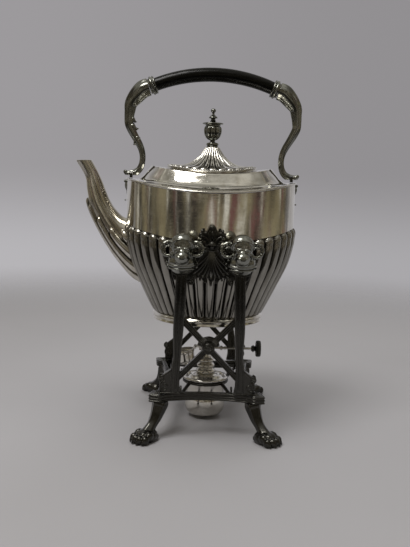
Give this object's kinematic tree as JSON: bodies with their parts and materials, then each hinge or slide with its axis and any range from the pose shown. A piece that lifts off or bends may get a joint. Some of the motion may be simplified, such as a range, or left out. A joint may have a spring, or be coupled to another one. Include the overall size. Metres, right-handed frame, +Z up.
{
  "type": "tilting spirit kettle",
  "caption": "Silver-plated tilting tea kettle with a fluted lower body, swan-neck spout and bail handle, hung between the frames of a paw-footed stand over a spirit lamp.",
  "frame": {"origin": "centre of the bounding box in plan, on the plane under the four paw soles", "axes": "+Z up, the spout points to -X, the front of the stand faces -Y"},
  "size_m": [0.2328, 0.2284, 0.3675],
  "materials": {
    "silver_plate": "polished silver plate, slightly tarnished",
    "dark_plate": "cast metal with blackened, worn silver plate",
    "lamp_plate": "polished silver plate",
    "ebony": "polished ebony",
    "wick_cotton": "plaited cotton"
  },
  "bodies": {
    "stand": {"front_leg_left": "dark_plate", "front_leg_right": "dark_plate", "back_leg_left": "dark_plate", "back_leg_right": "dark_plate", "front_head_left": "dark_plate", "front_head_right": "dark_plate", "back_head_left": "dark_plate", "back_head_right": "dark_plate", "front_bracket": "dark_plate", "back_bracket": "dark_plate", "front_brace": "dark_plate", "back_brace": "dark_plate", "pivot_pin_front": "dark_plate", "pivot_pin_back": "dark_plate", "base": "dark_plate", "front_paw_left": "dark_plate", "front_paw_right": "dark_plate", "back_paw_left": "dark_plate", "back_paw_right": "dark_plate", "lamp_carrier": "dark_plate"},
    "kettle": {"kettle_body": "silver_plate", "shoulder": "silver_plate", "foot_ring": "silver_plate", "spout": "silver_plate", "handle_lug_left": "dark_plate", "handle_lug_right": "dark_plate", "leaf_drop_left": "dark_plate", "leaf_drop_right": "dark_plate", "pivot_boss_front": "dark_plate", "pivot_boss_back": "dark_plate", "lid_hinge_knuckles": "silver_plate", "lid_hinge_pin": "silver_plate"},
    "lid": {"lid": "silver_plate", "lid_bezel": "silver_plate", "finial": "dark_plate", "finial_nut": "dark_plate", "lid_hinge_leaf": "silver_plate"},
    "handle": {"grip": "ebony", "ferrule_left": "dark_plate", "ferrule_right": "dark_plate", "handle_arm_left": "dark_plate", "handle_arm_right": "dark_plate", "handle_pin_left": "dark_plate", "handle_pin_right": "dark_plate"},
    "lamp": {"lamp_bowl": "lamp_plate", "lamp_cover": "lamp_plate", "burner": "lamp_plate", "cap_hinge_pin": "lamp_plate"},
    "winder": {"winder_shaft": "lamp_plate", "winder_sprocket": "lamp_plate", "winder_knob": "dark_plate"},
    "wick": {"wick": "wick_cotton"},
    "snuffer": {"snuffer_cap": "lamp_plate"}
  },
  "joints": [
    {"name": "kettle_tilt", "type": "hinge", "parent": "stand", "child": "kettle", "pos_m": [0.02429, 0, 0.192], "axis": [0, 1, 0], "range_deg": [-60, 0]},
    {"name": "lid_hinge", "type": "hinge", "parent": "kettle", "child": "lid", "pos_m": [0.02429, 0.0482, 0.26371], "axis": [-1, 0, 0], "range_deg": [0, 95]},
    {"name": "handle_swing", "type": "hinge", "parent": "kettle", "child": "handle", "pos_m": [0.02429, 0, 0.257], "axis": [1, 0, 0], "range_deg": [-60, 60]},
    {"name": "lamp_lift", "type": "slide", "parent": "stand", "child": "lamp", "axis": [0, 0, 1], "range_m": [0, 0.012]},
    {"name": "winder_turn", "type": "hinge", "parent": "lamp", "child": "winder", "pos_m": [0.02429, 0.0055, 0.0735], "axis": [1, 0, 0], "range_deg": [-135, 180]},
    {"name": "wick_raise", "type": "slide", "parent": "lamp", "child": "wick", "axis": [0, 0, 1], "range_m": [-0.0065, 0.005]},
    {"name": "snuffer_swing", "type": "hinge", "parent": "lamp", "child": "snuffer", "pos_m": [0.01248, 0, 0.0764], "axis": [0, 1, 0], "range_deg": [0, 190]}
  ],
  "couplings": [
    {"joint": "wick_raise", "follows": "winder_turn", "m_per_rad": -0.002}
  ]
}
